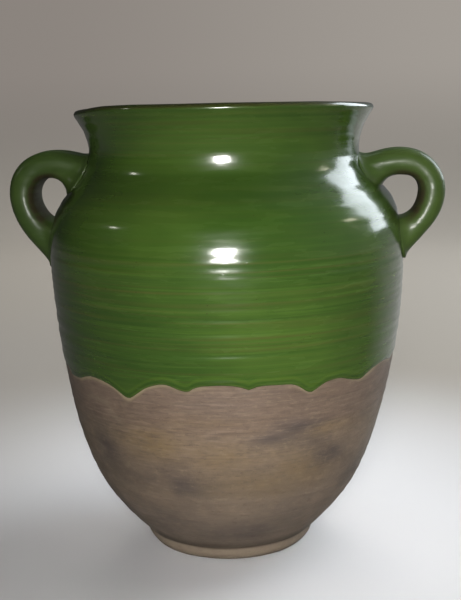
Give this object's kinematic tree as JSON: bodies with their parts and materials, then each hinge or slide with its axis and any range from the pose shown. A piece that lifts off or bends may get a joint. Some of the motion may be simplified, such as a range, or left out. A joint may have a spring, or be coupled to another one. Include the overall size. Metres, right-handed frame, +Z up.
{
  "type": "ceramic crock fermenter",
  "caption": "Open-mouthed two-eared stoneware fermenting crock with a flared lip, a glazed upper part and a bare clay foot, with loose half-moon weight stones inside.",
  "frame": {"origin": "centre of the foot, on the surface the crock stands on", "axes": "+Z up through the mouth, X through the two ears, Y from front to back; the crock's plain side faces -Y"},
  "size_m": [0.2935, 0.2372, 0.3],
  "materials": {
    "body_glaze": "glossy green glaze over fired clay, bare matt grey-brown clay below a scalloped edge",
    "ear_glaze": "glossy green glaze over fired clay",
    "bare_stoneware": "matt unglazed fired clay"
  },
  "bodies": {
    "crock": {"crock_body": "body_glaze", "handle_left": "ear_glaze", "handle_right": "ear_glaze"},
    "stone_front": {"weight_front": "bare_stoneware"},
    "stone_back": {"weight_back": "bare_stoneware"}
  },
  "joints": [
    {"name": "weight_front_lift", "type": "slide", "parent": "crock", "child": "stone_front", "axis": [0, 0, 1], "range_m": [0, 0.29]},
    {"name": "weight_back_lift", "type": "slide", "parent": "crock", "child": "stone_back", "axis": [0, 0, 1], "range_m": [0, 0.29]}
  ]
}
